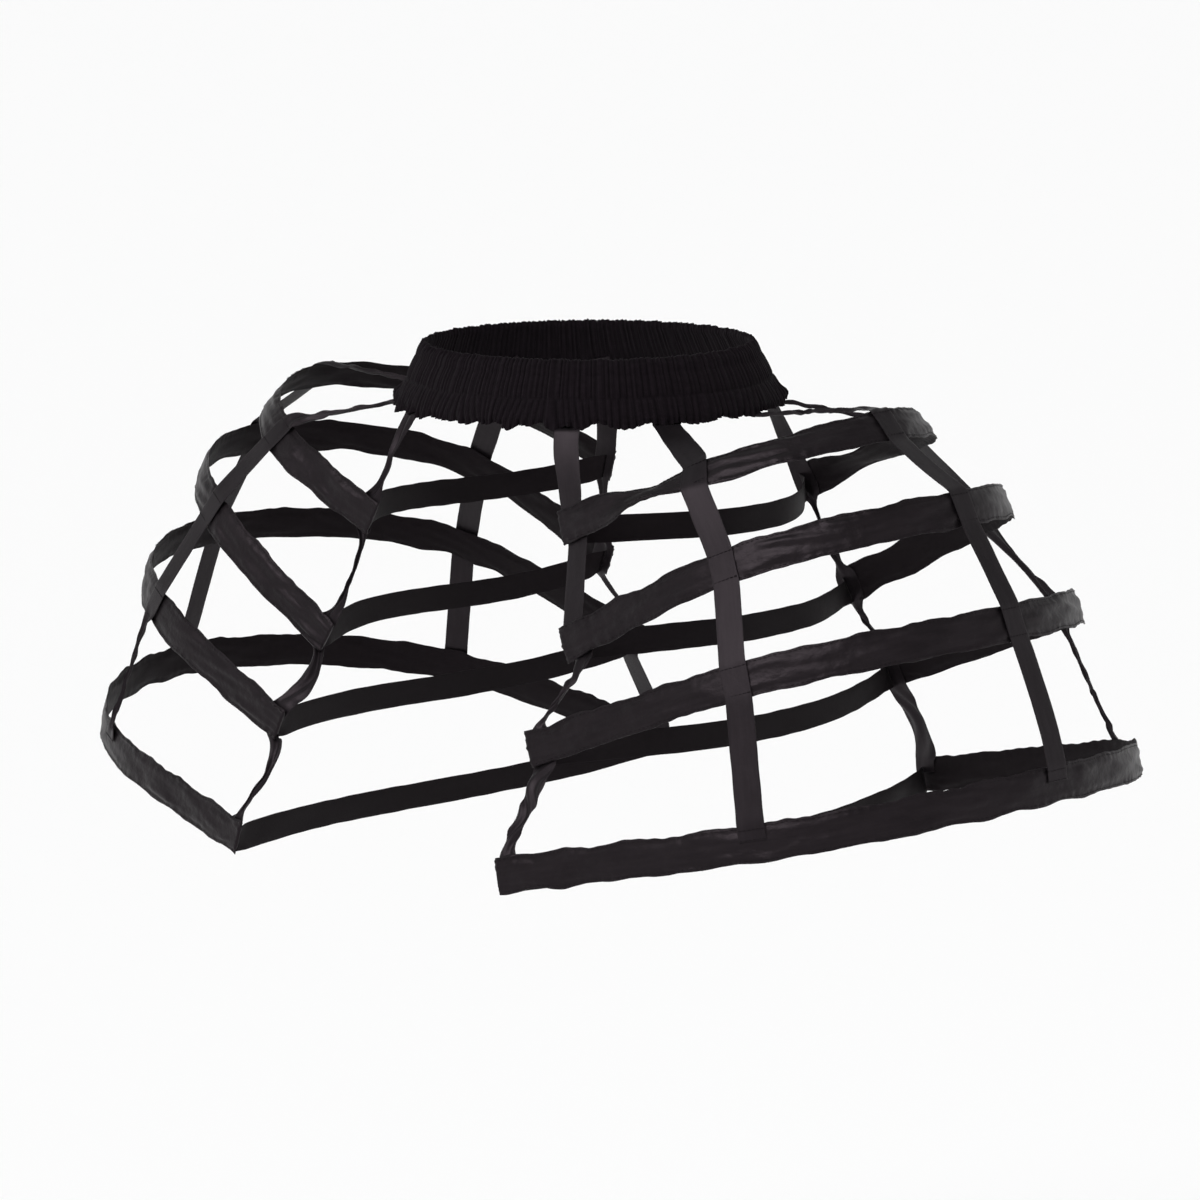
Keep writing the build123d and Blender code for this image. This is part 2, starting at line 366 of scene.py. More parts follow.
def new_finish(name, roughness, lustre, sheen, sheen_roughness, brushed=0.0):
    """Material with the numbers that hold all over set on the shader's own sockets."""
    finish, shader = plain_finish(name, (0.01, 0.01, 0.01), roughness)
    shader.inputs["Specular IOR Level"].default_value = lustre
    shader.inputs["Sheen Weight"].default_value = sheen
    shader.inputs["Sheen Roughness"].default_value = sheen_roughness
    shader.inputs["Anisotropic"].default_value = brushed
    shader.inputs["Specular Tint"].default_value = SPECULAR_TINT
    return finish, shader

def cloth_map(shader):
    """The piece's weave map."""
    chart = shader.id_data.nodes.new("ShaderNodeUVMap")
    chart.uv_map = "weave"
    return chart.outputs[0]

def scaled(chart, along, across):
    """The piece's own coordinates with so many pattern units a metre each way."""
    return node("Mapping", {"Vector": chart}, {"Scale": (along, across, along)})

def noise(vector, detail, rough=0.5):
    """Noise of one unit a wave over scaled coordinates."""
    return node("TexNoise", {"Vector": vector},
                {"Scale": 1.0, "Detail": detail, "Roughness": rough}, "Fac")

def threads(vector, direction):
    """Rows of threads one unit apart, rounded like a sine."""
    rows = node("TexWave", {"Vector": vector},
                {"Scale": UNIT_ROW, "Distortion": 0.6, "Detail": 1.0}, "Fac")
    rows.node.bands_direction = direction
    return rows

def between(factor, low, high):
    """Numbers from 0 to 1 spread over another range."""
    return node("MapRange", {"Value": factor}, {"To Min": low, "To Max": high})

def product(first, second):
    """Two patterns multiplied."""
    joined = node("Math", {0: first, 1: second})
    joined.node.operation = "MULTIPLY"
    return joined

def raised(height, distance, strength, under=None):
    """Relief of a height pattern, laid over another relief if there is one."""
    fed = {"Height": height} if under is None else {"Height": height, "Normal": under}
    return node("Bump", fed, {"Distance": distance, "Strength": strength})

def dress(shader, **patterns):
    """Shader fed with a pattern for its base colour, its roughness or its normal."""
    for name, source in patterns.items():
        socket = shader.inputs[name.replace("_", " ").title()]
        shader.id_data.links.new(source, socket)

print("finish helpers ready")

# %% [markdown]
# ### Satin and ribbon
# Satin shines because long threads float over the weave. They mirror light in
# streaks across their own direction, so the shader is brushed, and its
# roughness drifts in long thin patches along the strip. The sleeve's satin is
# crinkled; the ribbon's is smoother, with a firm woven edge.

# %% Satins
# Waves a metre, along and across the cloth, of each pattern in satin.
STREAKS, PATCHES, GRAIN, CREASES, FLOATS = (30, 520), (26, 70), (420, 1500), (95, 190), (0, 2600)

def satin(name, dark, light, roughness, crinkle, lustre):
    """Lustrous cloth: streaked colour and roughness, fine floats, and a soft crinkle."""
    finish, shader = new_finish(name, roughness, lustre, 0.01, 0.4, brushed=0.35)
    chart = cloth_map(shader)
    streaks = noise(scaled(chart, *STREAKS), 4, 0.6)
    patches = noise(scaled(chart, *PATCHES), 3, 0.55)
    grain = noise(scaled(chart, *GRAIN), 3, 0.6)
    creases = noise(scaled(chart, *CREASES), 3, 0.5)
    weave = raised(threads(scaled(chart, *FLOATS), "Y"), 0.00006, 0.35)
    fine = raised(grain, 0.0001, 0.5, weave)
    dress(shader, base_color=tones(product(streaks, patches), [(0.08, dark), (0.45, light)]),
          roughness=between(patches, roughness - 0.09, roughness + 0.12),
          normal=raised(creases, 0.0011, crinkle, fine))
    return finish

sleeve_satin = satin("sleeve_satin", (0.0020, 0.0016, 0.0019), (0.0075, 0.0060, 0.0069),
                     roughness=0.38, crinkle=0.75, lustre=0.17)
ribbon_satin = satin("ribbon_satin", (0.0030, 0.0024, 0.0029), (0.0095, 0.0078, 0.0090),
                     roughness=0.40, crinkle=0.16, lustre=0.17)
print("satins", sleeve_satin.name, ribbon_satin.name)

# %% [markdown]
# ### Tape, gathered cotton, bone, elastic and thread
# The straps and the sleeves' linings are plain tape, matt and closely woven.
# The waistband is soft cotton, and its gathers catch light on their crests and lose it between
# them. That light and shade is painted into its colour from the height of the gathers: painted
# highlight on the crests and painted shade in the valleys.

# %% Matt cloths
LINT, BONE_STREAKS = (180, 260), (60, 400)      # waves a metre, along and across

def matt_cloth(name, dark, light, threads_a_metre, roughness, sheen, lustre, crests=False,
               own_map=True):
    """Plain woven cloth: two crossed sets of threads, and lint as drifting paler specks. With
    crests, painted highlight lightens the crests of the gathers and painted shade darkens their
    valleys.
    """
    finish, shader = new_finish(name, roughness, lustre, sheen, 0.55)
    nodes = shader.id_data.nodes
    chart = cloth_map(shader) if own_map else nodes.new("ShaderNodeTexCoord").outputs["Object"]
    fine = scaled(chart, threads_a_metre, threads_a_metre)
    weave = product(threads(fine, "X"), threads(fine, "Y"))
    lint = noise(scaled(chart, *LINT), 5, 0.7)
    shown = product(lint, between(weave, 0.75, 1.0))
    # Painted light: the colour is multiplied by the gathers' height, darker in the valleys as
    # painted shade and lighter on the crests as painted highlight.
    if crests:
        gather = nodes.new("ShaderNodeAttribute")
        gather.attribute_name = "crest"
        shown = product(shown, between(gather.outputs["Fac"], 0.35, 1.25))
    dress(shader, base_color=tones(shown, [(0.15, dark), (0.75, light)]),
          roughness=between(lint, roughness - 0.08, roughness + 0.1),
          normal=raised(lint, 0.0003, 0.35, raised(weave, 0.00012, 0.5)))
    return finish

strap_tape = matt_cloth("strap_tape", (0.0022, 0.0016, 0.0019), (0.0070, 0.0054, 0.0062),
                        threads_a_metre=1900, roughness=0.62, sheen=0.01, lustre=0.09)
gathered_cotton = matt_cloth(
    "gathered_cotton", (0.0022, 0.0015, 0.0021), (0.0095, 0.0068, 0.0090),
    threads_a_metre=1700, roughness=0.85, sheen=0.02, lustre=0.04, crests=True)
elastic_web = matt_cloth("elastic_web", (0.006, 0.0055, 0.006), (0.02, 0.019, 0.02),
                         threads_a_metre=900, roughness=0.7, sheen=0.05, lustre=0.3, own_map=False)
sewing_thread = matt_cloth("sewing_thread", (0.002, 0.0016, 0.0019), (0.007, 0.0055, 0.0065),
                           threads_a_metre=5200, roughness=0.55, sheen=0.01, lustre=0.12)

bone_plastic, bone_shader = new_finish("bone_plastic", roughness=0.35, lustre=0.5, sheen=0.0,
                                       sheen_roughness=0.5)
bone_drift = noise(scaled(cloth_map(bone_shader), *BONE_STREAKS), 4)
dress(bone_shader, base_color=tones(bone_drift, [(0.3, (0.02, 0.02, 0.021)),
                                                 (0.7, (0.035, 0.035, 0.036))]),
      normal=raised(bone_drift, 0.0001, 0.4))
print("matt cloths, bone and thread ready")

# %% [markdown]
# ## Hoops
# A hoop's path is one smooth curve through its two corners, the middles of
# its two nearly straight legs, and the three places where the outer ribbons
# cross it. The sleeve stands on edge along that path and leans inward round
# the bow, more near the waist, where the cage curves in over the hips.

# %% Tiers
CASING_WIDTH, CASING_THICKNESS = 24 * MM, 3.4 * MM
CORNER_LEAN, LEAN_RUN = 6.0, 0.24      # in degrees, and the share of a hoop it eases over
LEG_BOW, BACK_RISE = 5 * MM, 9 * MM    # bulge of a leg, and how much higher the back rides

# One row a tier, from the waist down, in millimetres. The corners are where
# sleeve and strap meet, front and back are where the outer ribbons cross, and
# reach is how far out the sleeve goes. The height is the front corner's, lift
# is how much higher the outermost point is, and arch the bulge above that
# slope. Lean, in degrees, is inward round the bow. The strap lies at hip and
# hangs by strap_sag, and the right wing's front corner hangs by sag.
Tier = namedtuple("Tier", "corner_x corner_y front_x front_y reach back_x back_y "
                          "height lift arch lean hip sag strap_sag")
TIERS = [
    Tier(86, 122, 190, 108, 260, 190, 110, -90, 70, 1, 40, 135, 8, 4),
    Tier(108, 144, 233, 130, 322, 232, 136, -163, 94, 8, 24, 142, 16, 3),
    Tier(114, 184, 265, 155, 363, 274, 166, -226, 87, 6, 20, 146, 9, 7),
    Tier(119, 219, 294, 172, 399, 308, 190, -303, 64, -2, 8, 148, 5, 6),
]
TIERS = [Tier(*(value if field == "lean" else value * MM
                for field, value in zip(Tier._fields, tier))) for tier in TIERS]
print("reach of the tiers", [tier.reach for tier in TIERS])

# %% Hoop paths
# Where a sleeve's leg twists on the way from a corner: the share of the hoop
# at its middle, its spread, and the degrees that it leans more there.
TWISTS = {
    ("left", 1): [(0.150, 0.042, 42), (0.34, 0.07, 14), (0.885, 0.045, 46)],
    ("right", 1): [(0.90, 0.04, 20)],
}

Hoop = namedtuple("Hoop", "wing number side tier places tangents length crossings twists")

def make_hoop(wing, number):
    """Path of one tier of one wing, sloping up and slightly arched outward."""
    side, tier = (1, TIERS[number - 1]) if wing == "left" else (-1, TIERS[number - 1])

    def point(x, y):
        """Place over x and y: its height rises outward in an arch, and towards the back."""
        out = (x - tier.corner_x) / (tier.reach - tier.corner_x)
        back = 0.5 + 0.5 * y / tier.corner_y
        return np.array([side * x, y, tier.height + (tier.lift - BACK_RISE / 2) * out
                         + 4 * tier.arch * out * (1 - out) + BACK_RISE * back])

    front_corner = point(tier.corner_x, -tier.corner_y) - UP * (tier.sag if side < 0 else 0)
    back_corner = point(tier.corner_x, tier.corner_y)
    crossings = [point(tier.front_x, -tier.front_y), point(tier.reach, 0),
                 point(tier.back_x, tier.back_y)]
    bow = np.array([0, LEG_BOW, 0])
    places, tangents, length, shares = curve_through(
        [front_corner, (front_corner + crossings[0]) / 2 - bow, *crossings,
         (back_corner + crossings[2]) / 2 + bow, back_corner])
    return Hoop(wing, number, side, tier, places, tangents, length, shares[2:5],
                TWISTS.get((wing, number), []))

def hoop_station(hoop, share, depth=0.0):
    """Places depth outside the sleeve's middle, with its up, out and along directions.

    Level is along crossed with up. The lean turns up inward, easing from the
    corners over LEAN_RUN of the length. Past the ends the sleeve goes straight on.
    """
    share = np.asarray(share, float)
    end = np.clip(share, 0, 1)
    along = unit(read_off(hoop.tangents, end))
    place = read_off(hoop.places, end) + along * ((share - end) * hoop.length)[..., None]
    level = unit(np.cross(along, UP)) * hoop.side
    upright = unit(np.cross(level, along)) * hoop.side
    ease = smooth(np.minimum(end, 1 - end) / LEAN_RUN)
    lean = CORNER_LEAN + (hoop.tier.lean - CORNER_LEAN) * ease
    for middle, spread, degrees in hoop.twists:
        lean = lean + degrees * np.exp(-0.5 * ((end - middle) / spread) ** 2)
    lean = np.radians(lean)[..., None]
    upward = upright * np.cos(lean) - level * np.sin(lean)
    outward = level * np.cos(lean) + upright * np.sin(lean)
    return place + outward * np.asarray(depth)[..., None], upward, outward, along

hoops = {(wing, number): make_hoop(wing, number)
         for wing in ("left", "right") for number in (1, 2, 3, 4)}
for hoop in hoops.values():
    print(hoop.wing, hoop.number, "hoop length", round(hoop.length, 3), "crossings",
          hoop.crossings.round(3))

# %% [markdown]
# ## Satin sleeves
# A sleeve is a strip of satin folded in two over the bone and stitched along
# both edges. It is flat at the stitched edges and swells over the bone. The
# satin is cut a little long, so it ripples between the stitches, drags in
# slanting folds, and bunches where it is gathered at the corners.

# %% Folds of the satin
EDGE_HALF = 0.45 * MM                  # half of two layers of satin at the edge
BONE_SWELL = 0.85 * MM                 # how much more it stands out over the bone
OVER_BONE = 0.95 * MM                  # the least height of satin over the bone
SWELL_EDGE, COVER_EDGE = 0.80, 0.66    # shares of the half width where these two end
RIBBON_CLEAR, CLEAR_OVER = 12 * MM, 14 * MM     # from a ribbon's middle, and eased over
HIGHEST, HIGHER_FREE = 1.7 * MM, 1.0 * MM       # bound at a ribbon, and more away from it
# How high each kind of fold may stand.
DRAG, SLANT, LONG_FOLD, PUCKER, BUNCH = (mm * MM for mm in (0.60, 0.52, 0.85, 0.34, 0.75))

def limited(height, low, high):
    """Height rounded off softly at a lower and an upper bound.

    The soft maximum of a and b is half of a + b + the root of (a - b) squared
    plus a small constant; the soft minimum takes that root away.
    """
    blunt = (0.15 * MM) ** 2
    height = (height + low + np.sqrt((height - low) ** 2 + blunt)) / 2
    return (height + high - np.sqrt((height - high) ** 2 + blunt)) / 2

def sleeve_seed(hoop):
    """First of the seeds for a sleeve's folds."""
    return 40 * hoop.number + (7 if hoop.side < 0 else 0)

def sleeve_relief(hoop, share, across, face):
    """Height of the folds over a smooth sleeve, in metres.

    It adds slanting drag folds, a wandering lengthwise fold, puckers that fade
    away from each stitched edge, and gathers that fade away from each end.
    """
    seed = sleeve_seed(hoop) + (3 if face < 0 else 0)
    run = share * hoop.length
    wide = across * CASING_WIDTH / 2
    calm = 0.35 + 0.65 * smooth(0.5 + 0.9 * drift(seed, run, 0.11))
    drag = ripple(seed + 1, run + 2.2 * wide, wide, 0.055, 0.009) * DRAG * calm
    slant = ripple(seed + 2, run - 1.6 * wide, wide, 0.075, 0.012) * SLANT * (1.3 - calm)
    wander = 0.45 * drift(seed + 3, run, 0.16)
    fold = np.exp(-0.5 * ((across - wander) / 0.15) ** 2) * LONG_FOLD * drift(seed + 4, run, 0.13)
    from_edge = (1 - np.abs(across)) * CASING_WIDTH / 2
    pucker = (drift(seed + 5, run, 0.0085) * np.exp(-from_edge / (3.6 * MM))
              * smooth(from_edge / (1.5 * MM)) * PUCKER)
    from_end = np.minimum(share, 1 - share) * hoop.length
    turns = across / (1 + 14 * from_end) * 2.6 + drift(seed + 6, run, 0.05) * 0.25
    gather = np.cos(2 * np.pi * turns) * np.exp(-from_end / 0.03) * BUNCH
    rim = smooth(from_edge / (1.2 * MM))
    return (drag + slant + fold + gather) * rim + pucker

def sleeve_edge(hoop, run, top):
    """How far an edge strays across the sleeve: its stitching draws it in unevenly."""
    seed = 900 + sleeve_seed(hoop) + (1 if top else 0)
    return (drift(seed, run, 0.045) * 0.70 * MM
            + drift(seed + 2, run, 0.014) * (0.22 if top else 0.12) * MM)

print("heights of the folds in mm", [round(fold / MM, 2) for fold in
                                     (DRAG, SLANT, LONG_FOLD, PUCKER, BUNCH)])

# %% The sleeve's surface
def sleeve_point(hoop, share, across, face, above=0.0):
    """Places on the sleeve's cloth, above metres over it.

    Across runs from -1 at the lower edge to 1 at the upper one; face is 1 outside
    and -1 inside. The half thickness is that of two layers at the edge and swells
    over the bone.
    """
    share, across = np.broadcast_arrays(np.asarray(share, float), np.asarray(across, float))
    middle, upward, outward, _ = hoop_station(hoop, share)
    run = share * hoop.length
    stray = (sleeve_edge(hoop, run, True) * np.clip(across, 0, 1) ** 3
             + sleeve_edge(hoop, run, False) * np.clip(-across, 0, 1) ** 3)
    flat = EDGE_HALF * np.sqrt(np.clip(1 - np.abs(across) ** 10, 0, 1))
    from_end = np.minimum(share, 1 - share) * hoop.length
    filled = 0.25 + 0.75 * smooth(from_end / 0.02)
    swell = BONE_SWELL * smooth((SWELL_EDGE - np.abs(across)) / 0.3) * filled
    height = flat + swell + sleeve_relief(hoop, share, across, face)
    cover = np.maximum(flat * 0.5, OVER_BONE * smooth((COVER_EDGE - np.abs(across)) / 0.1))
    from_ribbon = np.abs(share[..., None] - hoop.crossings).min(-1) * hoop.length
    free = smooth((from_ribbon - RIBBON_CLEAR) / CLEAR_OVER) if face > 0 else 0.0
    height = limited(height, cover, HIGHEST + HIGHER_FREE * free) + above
    return (middle + upward * (across * CASING_WIDTH / 2 + stray)[..., None]
            + outward * (face * height)[..., None])

def sleeve_grid(hoop, step, around):
    """Whole sleeve: columns go round its section from upper edge, outside, to inside."""
    rows = int(hoop.length / step) + 1
    turn = (np.arange(around) + 0.5) * 2 * np.pi / around
    share = np.linspace(0, 1, rows)[:, None]
    across = np.cos(turn)[None, :]
    outer = sleeve_point(hoop, share, across[:, :around // 2], 1)
    inner = sleeve_point(hoop, share, across[:, around // 2:], -1)
    return np.concatenate([outer, inner], axis=1)

SLEEVE_STEP, AROUND_SLEEVE = 1.8 * MM, 40
for (wing, number), hoop in hoops.items():
    grid = sleeve_grid(hoop, SLEEVE_STEP, AROUND_SLEEVE)
    piece = closed_cloth(f"{wing}_hoop{number}_sleeve", grid, [sleeve_satin, strap_tape],
                         np.linspace(0, hoop.length, len(grid)), 2 * CASING_WIDTH,
                         inner_from=AROUND_SLEEVE // 2)
    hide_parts(f"{wing}_hoop{number}_casing")

# %% [markdown]
# ## Bones
# The bone is a flat strip of plastic with rounded edges that gives the hoop
# its spring. It is out of sight in its sleeve, but it is there, so that the
# part is whole when a sleeve is cut away.

# %% Bones
BONE_WIDTH, BONE_THICKNESS, BONE_END_GAP = 12 * MM, 1.2 * MM, 14 * MM

def strip_section(width, thickness, around):
    """Across and facing measures round a flat section with rounded edges.

    A superellipse: cosine and sine to small powers, so the faces stay flat.
    """
    turn = (np.arange(around) + 0.5) * 2 * np.pi / around
    across = np.cos(turn) * width / 2
    facing = np.sign(np.sin(turn)) * np.abs(np.sin(turn)) ** 0.35 * thickness / 2
    return across, facing

def carried(places, across_way, facing_way, across, facing):
    """A section carried along a path: place plus across and facing measures."""
    return (places[:, None] + across_way[:, None] * across[..., None]
            + facing_way[:, None] * facing[..., None])

BONE_AROUND, BONE_ROWS = 16, 160
bone_across, bone_facing = strip_section(BONE_WIDTH, BONE_THICKNESS, BONE_AROUND)
for (wing, number), hoop in hoops.items():
    gap = BONE_END_GAP / hoop.length
    share = np.linspace(gap, 1 - gap, BONE_ROWS)
    middle, upward, outward, _ = hoop_station(hoop, share)
    grid = carried(middle, upward, outward, bone_across[None], bone_facing[None])
    piece = closed_cloth(f"{wing}_hoop{number}_bone_strip", grid, [bone_plastic],
                         share * hoop.length, 2 * BONE_WIDTH)
    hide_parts(f"{wing}_hoop{number}_bone")

# %% [markdown]
# ## Straps
# A plain tape closes each hoop along the hip. It stands on edge, runs from
# corner to corner in a shallow bow round the hip, and is sewn behind the
# sleeve's two ends, over the corner ribbons.

# %% Straps
STRAP_WIDTH, STRAP_THICKNESS, STRAP_INSET = 18 * MM, 0.8 * MM, 5 * MM
STRAP_AROUND, STRAP_ROWS = 28, 130
STRAP_TURN = 12 * MM                   # run over which each end turns upright
RIBBON_WIDTH, RIBBON_THICKNESS, SEWN_GAP = 18 * MM, 0.6 * MM, 0.25 * MM

def strap_lines(hoop, count):
    """Strap's middle line with its up and facing directions, from front to back.

    The ends stand along the sleeve's inner face; between them the tape stays
    upright and follows a smooth curve past two points over the hip.
    """
    inset = STRAP_INSET / hoop.length
    depth = -(CASING_THICKNESS / 2 + RIBBON_THICKNESS + 2 * SEWN_GAP)
    place, upward, _, along = hoop_station(hoop, np.array([inset, 1 - inset]),
                                           np.array([depth, depth]))
    front, back = place - upward * (CASING_WIDTH - STRAP_WIDTH) / 2
    height = (front[2] + back[2]) / 2 - hoop.tier.strap_sag
    over_hip = [(hoop.side * hoop.tier.hip, y, height)
                for y in (-hoop.tier.corner_y / 3, hoop.tier.corner_y / 3)]
    places, tangents, length, _ = curve_through([front, *over_hip, back])
    share = np.linspace(0, 1, count)
    level = unit(np.cross(read_off(tangents, share), UP)) * hoop.side
    near = (1 - smooth(share * length / STRAP_TURN))[:, None]
    far = (1 - smooth((1 - share) * length / STRAP_TURN))[:, None]
    up = unit(UP * (1 - near - far) + upward[0] * near + upward[1] * far)
    facing = unit(level * (1 - near - far) + along[0] * near - along[1] * far)
    return read_off(places, share), up, facing, length

straps = {}
strap_across, strap_facing = strip_section(STRAP_WIDTH, STRAP_THICKNESS, STRAP_AROUND)
for (wing, number), hoop in hoops.items():
    middle, up, facing, length = strap_lines(hoop, STRAP_ROWS)
    run = np.linspace(0, length, STRAP_ROWS)
    seed = 300 + number * 10 + (5 if hoop.side < 0 else 0)
    ends = smooth(np.minimum(run, length - run) / 0.03)[:, None]
    bow = ripple(seed, run[:, None], strap_across[None], 0.09, 0.03) * 0.5 * MM * ends
    stray = 1 + 0.012 * drift(seed + 1, run[:, None], 0.03)
    grid = carried(middle, up, facing, strap_across[None] * stray, strap_facing[None] + bow)
    piece = closed_cloth(f"{wing}_hoop{number}_strap_tape", grid, [strap_tape], run,
                         2 * STRAP_WIDTH)
    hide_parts(f"{wing}_hoop{number}_strap")
    straps[wing, number] = (piece, length)
print("strap lengths", {key: round(length, 3) for key, (_, length) in straps.items()})

# %% [markdown]
# ## Gathered waistband
# The waistband is a tube of cotton shirred over wide elastic. Rows of
# stitching cross it; between them the cloth stands up in close rounded
# gathers with sharp valleys, and past them it frills at both edges. A
# displacement picture could give the gathers, but then the frilled edges
# would stay straight, so the gathers are real folds in the surface.

# %% The waistband's shape
WAIST_HALF_WIDTH, WAIST_HALF_DEPTH = 121 * MM, 90 * MM
BAND_HEIGHT, BAND_FLARE, BAND_WALL = 42 * MM, 20 * MM, 5 * MM
BAND_TILT = np.radians(3.5)
GATHERS_ABOVE, GATHERS_BELOW, FINE_FOLDS = 196, 158, 431      # folds round the band
STITCH_ROW = -3.5 * MM                 # height of the row of stitches between the zones
GATHER_HEIGHT, INNER_GATHER = 0.62 * MM, 0.45 * MM
ROW_NOTCH = 0.25 * MM                  # how far the row of stitches pulls the cloth in
# Where the cloth starts to frill at the top, at the hem, and to ripple at the hem, as a
# distance from the band's middle height, and the distance over which that comes in.
TOP_FRILL, LOW_FRILL, HEM = (17 * MM, 4 * MM), (16.5 * MM, 4.5 * MM), (15 * MM, 6 * MM)

def tilted(v):
    """Turned with the band about X, so that it rides higher at the back."""
    x, y, z = np.moveaxis(v, -1, 0)
    return np.stack([x, y * np.cos(BAND_TILT) - z * np.sin(BAND_TILT),
                     y * np.sin(BAND_TILT) + z * np.cos(BAND_TILT)], -1)

def band_place(angle, height, depth):
    """Place depth outside the inner face of the band, an ellipse that widens downward."""
    flare = BAND_FLARE * (0.5 - height / BAND_HEIGHT) + depth
    return np.stack([(WAIST_HALF_WIDTH + flare) * np.cos(angle),
                     (WAIST_HALF_DEPTH + flare) * np.sin(angle),
                     np.broadcast_to(height, flare.shape)], -1)

def even_angles(count):
    """Angles that are evenly spaced in distance round the band."""
    angle = np.linspace(0, 2 * np.pi, TABLE_ROWS)
    run = walked(band_place(angle, np.zeros(TABLE_ROWS), np.zeros(TABLE_ROWS)))
    return np.interp(np.arange(count) / count * run[-1], run, angle), run[-1]

print("girth of the band's inner face", round(even_angles(4)[1], 3))

# %% Gathers
def gathers(share, height):
    """Gathers from about -0.7 in the sharp valleys to 1 on the rounded crests.

    The root of a squared cosine, with more folds above the stitch row than below,
    and with a phase and strength that drift round the band. Small folds lie over
    them. Also returns ring, which drifts at random round the band, between about
    -1 and 1, with waves of a pitch given as a share of the girth.
    """
    def ring(seed, pitch):
        """A quarter of the sum of sixteen cosines, each with a whole number of waves."""
        rng = np.random.default_rng(seed)
        turns = rng.integers(max(2, int(0.4 / pitch)), int(1.6 / pitch), 16)
        phase = rng.uniform(0, 2 * np.pi, 16)
        return np.cos(2 * np.pi * share[..., None] * turns + phase).sum(-1) / 4

    above = 2 * np.pi * GATHERS_ABOVE * share + 1.2 * ring(1, 0.02)
    slant = 2 * np.pi * (height - STITCH_ROW) / (11 * MM) * 0.55 * ring(2, 0.09)
    below = 2 * np.pi * GATHERS_BELOW * share + 1.3 * ring(3, 0.025) + slant
    fold_above = 2 * np.sqrt(0.015 + np.cos(above / 2) ** 2) - 1.2
    fold_below = 2 * np.sqrt(0.015 + np.cos(below / 2) ** 2) - 1.2
    zone = smooth((height - STITCH_ROW + 2 * MM) / (4 * MM))
    strength = 0.72 + 0.34 * np.clip(ring(4, 0.010), -1, 1)
    fine = 0.16 * np.cos(2 * np.pi * FINE_FOLDS * share + 3 * ring(5, 0.03) + height / (9 * MM))
    return (fold_below * (1 - zone) + fold_above * zone) * strength + fine, ring

print("gather at the stitch row", gathers(np.linspace(0, 0.01, 5), STITCH_ROW)[0].round(2))

# %% The waistband
# Where a ribbon drags the hem out into a crumpled tuft, an angle round the band, and how far.
TUFTS = [(np.arctan2(-0.52, -0.86), 5.5 * MM), (np.arctan2(0.52, 0.86), 4.5 * MM)]
# The hem hangs lower at the front right: the middle's angle, its spread and how far.
DROOP_AT, DROOP_SPREAD, DROOP = np.pi + 0.5, 0.6, 2.2 * MM

COLUMNS = 2200                         # places round the band
angle, girth = even_angles(COLUMNS)
share = (np.arange(COLUMNS) / COLUMNS)[:, None]
# Heights of the rows, up the outer face and down the inner one.
outer_rows = np.array([-21, -20.2, -19, -17.6, -16, -13.8, -11.4, -9, -6.8, -5.2, -4.2, -3.5,
                       -2.8, -1.6, 0.8, 3.2, 5.6, 8, 10, 11.5, 13, 15, 16.8, 18.4, 20, 21]) * MM
inner_rows = np.array([21, 20, 18.6, 16.5, 12, 7, 2, -3, -8, -13, -16.5, -18.6, -20, -21]) * MM

def band_rows(rows, outer):
    """One face of the band, rows of heights by angles: offset, swell, gathers, frill and tufts."""
    def bell(middle, spread):
        """1 at a middle height, and e to minus the square of the spreads away from it."""
        return np.exp(-((rows - middle) / spread) ** 2)

    def past(distance, zone):
        """Rises smoothly from 0 at a zone's start to 1 at its end."""
        return smooth((distance - zone[0]) / zone[1])

    height = rows[None, :] + 0 * share
    fold, ring = gathers(share + 0 * height, height)
    top, low = past(rows, TOP_FRILL), past(-rows, HEM)
    frill = np.maximum(top, past(-rows, LOW_FRILL))
    swell = np.abs(np.sin(np.pi * (rows - STITCH_ROW) / (15 * MM))) ** 0.7 * 0.7 * MM
    if outer:
        depth = 4.75 * MM + swell - frill * 1.5 * MM - ROW_NOTCH * bell(STITCH_ROW, 1.2 * MM)
        depth = depth + fold * (GATHER_HEIGHT - 0.22 * MM * bell(STITCH_ROW, 1.5 * MM))
    else:
        depth = -0.2 * MM - 0.5 * swell + frill * 2.3 * MM
        depth = depth + (1 - frill) * INNER_GATHER * gathers(share + 0.13 + 0 * height, height)[0]
    wave = 0.6 * fold + 0.9 * ring(9, 0.012)
    droop = DROOP * np.exp(-((angle[:, None] - DROOP_AT) / DROOP_SPREAD) ** 2)
    depth = depth + low * wave * 0.9 * MM + top * wave * 0.7 * MM
    height = (height - low * (0.35 * MM * fold + 1.25 * MM * ring(10, 0.03) + droop)
              + top * (0.5 * MM * fold + 0.35 * MM * ring(11, 0.02)))
    for middle, pull in TUFTS if outer else ():
        turn = np.abs((angle - middle + np.pi) % (2 * np.pi) - np.pi)[:, None]
        near = np.exp(-(turn / 0.075) ** 1.5) * bell(-15.5 * MM, 5 * MM)
        depth = depth + pull * near * (0.8 + 0.25 * fold)
        height = height + 1.5 * MM * near
    return tilted(band_place(angle[:, None] + 0 * height, height, depth)), fold

outer_face, outer_fold = band_rows(outer_rows, True)
inner_face, inner_fold = band_rows(inner_rows, False)
band_grid = np.concatenate([outer_face, inner_face], axis=1)
# Height of the gathers, from 0 in the valleys to 1 on the crests; the cotton's finish paints shade
# and highlight from it.
band_crest = np.concatenate([outer_fold, inner_fold], axis=1) * 0.5 + 0.5
waistband = closed_cloth("gathered_waistband", band_grid, [gathered_cotton],
                         np.linspace(0, girth, COLUMNS + 1), 2 * BAND_HEIGHT + 2 * BAND_WALL,
                         crest=band_crest, looped=True)
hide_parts("waistband_casing")
print("band girth", round(girth, 3), "faces", len(waistband.data.polygons))

